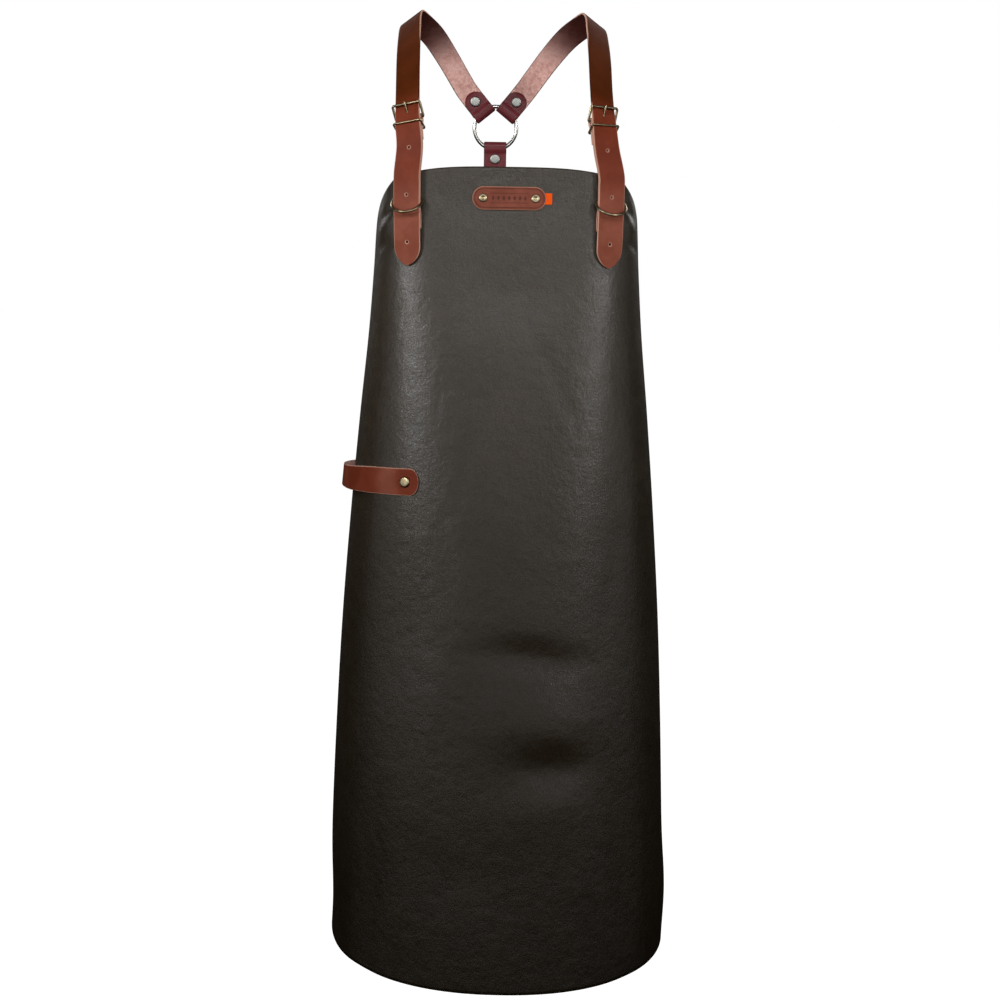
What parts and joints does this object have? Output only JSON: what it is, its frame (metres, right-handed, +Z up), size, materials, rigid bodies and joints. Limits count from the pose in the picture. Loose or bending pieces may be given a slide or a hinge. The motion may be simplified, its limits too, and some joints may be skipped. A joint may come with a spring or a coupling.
{
  "type": "leather work apron",
  "caption": "Leather work apron with a bib, buckled shoulder straps joined on a ring at the back, a waist strap and a small leather patch, in the form it has when worn.",
  "frame": {"origin": "midway between the two places where the shoulder straps cross the shoulders, level with them", "axes": "+Z up, the front faces -Y, +X to the right of someone who looks at the front"},
  "size_m": [0.4365, 0.3475, 1.1859],
  "materials": {
    "apron_leather": "pebbled, satin",
    "strap_leather": "smooth, waxed",
    "patch_leather": "smooth, waxed",
    "antique_brass": "antique, worn",
    "nickel": "polished",
    "tag_cloth": "woven"
  },
  "bodies": {
    "root": {"apron_body": "apron_leather", "shoulder_strap_left": "strap_leather", "shoulder_strap_right": "strap_leather", "buckle_strap_left": "strap_leather", "buckle_strap_right": "strap_leather", "waist_strap": "strap_leather", "back_strap": "strap_leather", "patch": "patch_leather", "buckle_frame_left": "antique_brass", "buckle_frame_right": "antique_brass", "buckle_prong_left": "antique_brass", "buckle_prong_right": "antique_brass", "strap_keeper_left": "antique_brass", "strap_keeper_right": "antique_brass", "d_ring_left": "antique_brass", "d_ring_right": "antique_brass", "bib_rivet_left": "antique_brass", "bib_rivet_right": "antique_brass", "waist_rivet_left": "antique_brass", "waist_rivet_right": "antique_brass", "back_strap_rivet": "antique_brass", "patch_rivet_left": "antique_brass", "patch_rivet_right": "antique_brass", "back_ring": "nickel", "ring_rivet_left": "nickel", "ring_rivet_right": "nickel", "ring_rivet_centre": "nickel", "side_tag": "tag_cloth"}
  },
  "joints": []
}
